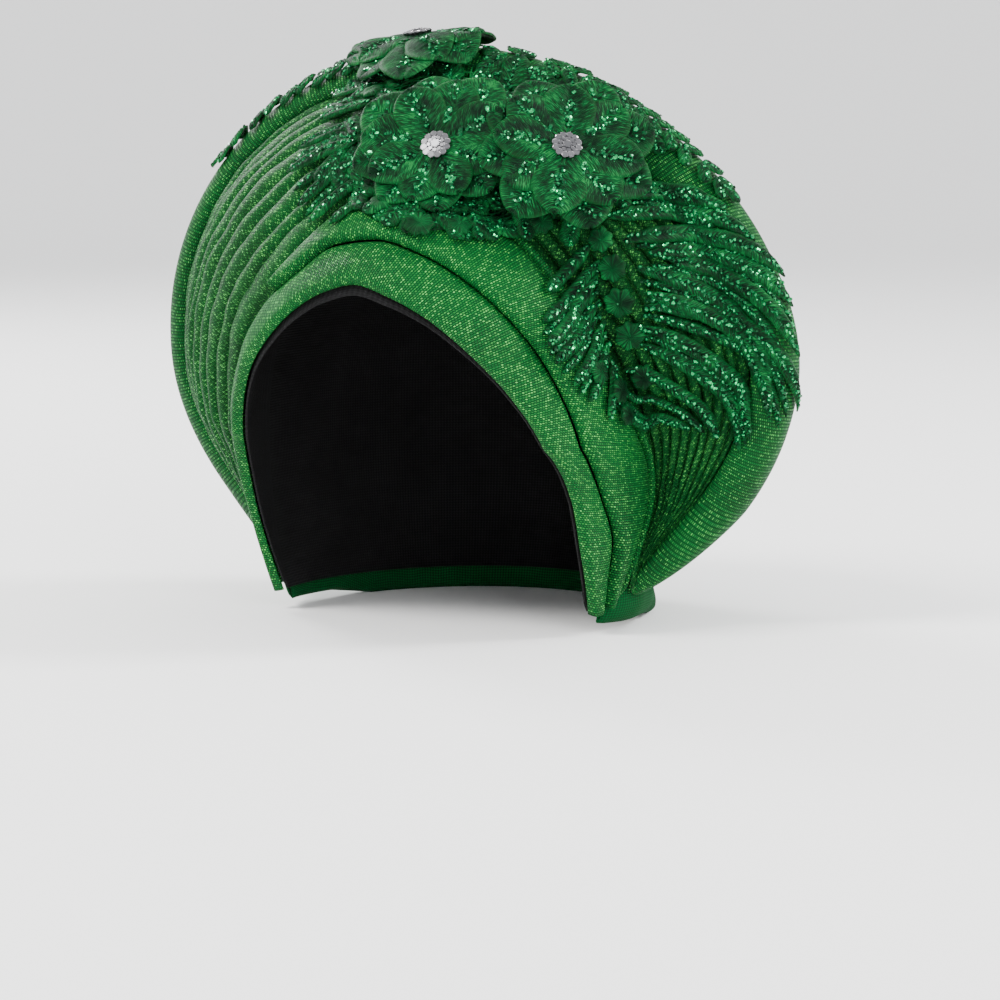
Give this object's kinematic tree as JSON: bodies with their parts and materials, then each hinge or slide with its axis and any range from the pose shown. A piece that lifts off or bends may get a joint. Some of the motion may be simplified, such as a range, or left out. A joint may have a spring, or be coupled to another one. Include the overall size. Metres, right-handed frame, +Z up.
{
  "type": "tied gele head tie",
  "caption": "Ready-tied gele head tie: crossed brow bands, a pleated fan with a rolled rim behind the head, a wrapped back, and applied lace flowers with stone buttons.",
  "frame": {"origin": "middle of the greatest girth of the head that the tie is worn on", "axes": "+Z up; the wearer faces -Y; the wearer's left, with the large lace sprays, is +X"},
  "size_m": [0.2795, 0.1896, 0.2365],
  "materials": {
    "cloth": "ribbed green cloth with bright metallic threads",
    "knit": "plain matte green knit",
    "lining": "thin matte black knit",
    "lace": "dark green embroidered lace with clear green sequins",
    "stones": "silver cupped setting with clear cut stones"
  },
  "bodies": {
    "root": {"inner_cap": "lining", "nape_cap": "knit", "brow_band": "cloth", "cross_band": "cloth", "tuck_fold": "cloth", "pleated_fan": "cloth", "rim_wrap": "cloth", "lace_ground": "lace", "spray_left_outer": "lace", "spray_left_inner": "lace", "spray_right_upper": "lace", "spray_right_middle": "lace", "spray_right_main": "lace", "spray_right_lower": "lace", "flower_left": "lace", "flower_right": "lace", "flower_top": "lace", "rhinestone_button_left": "stones", "rhinestone_button_right": "stones", "rhinestone_button_top": "stones"}
  },
  "joints": []
}
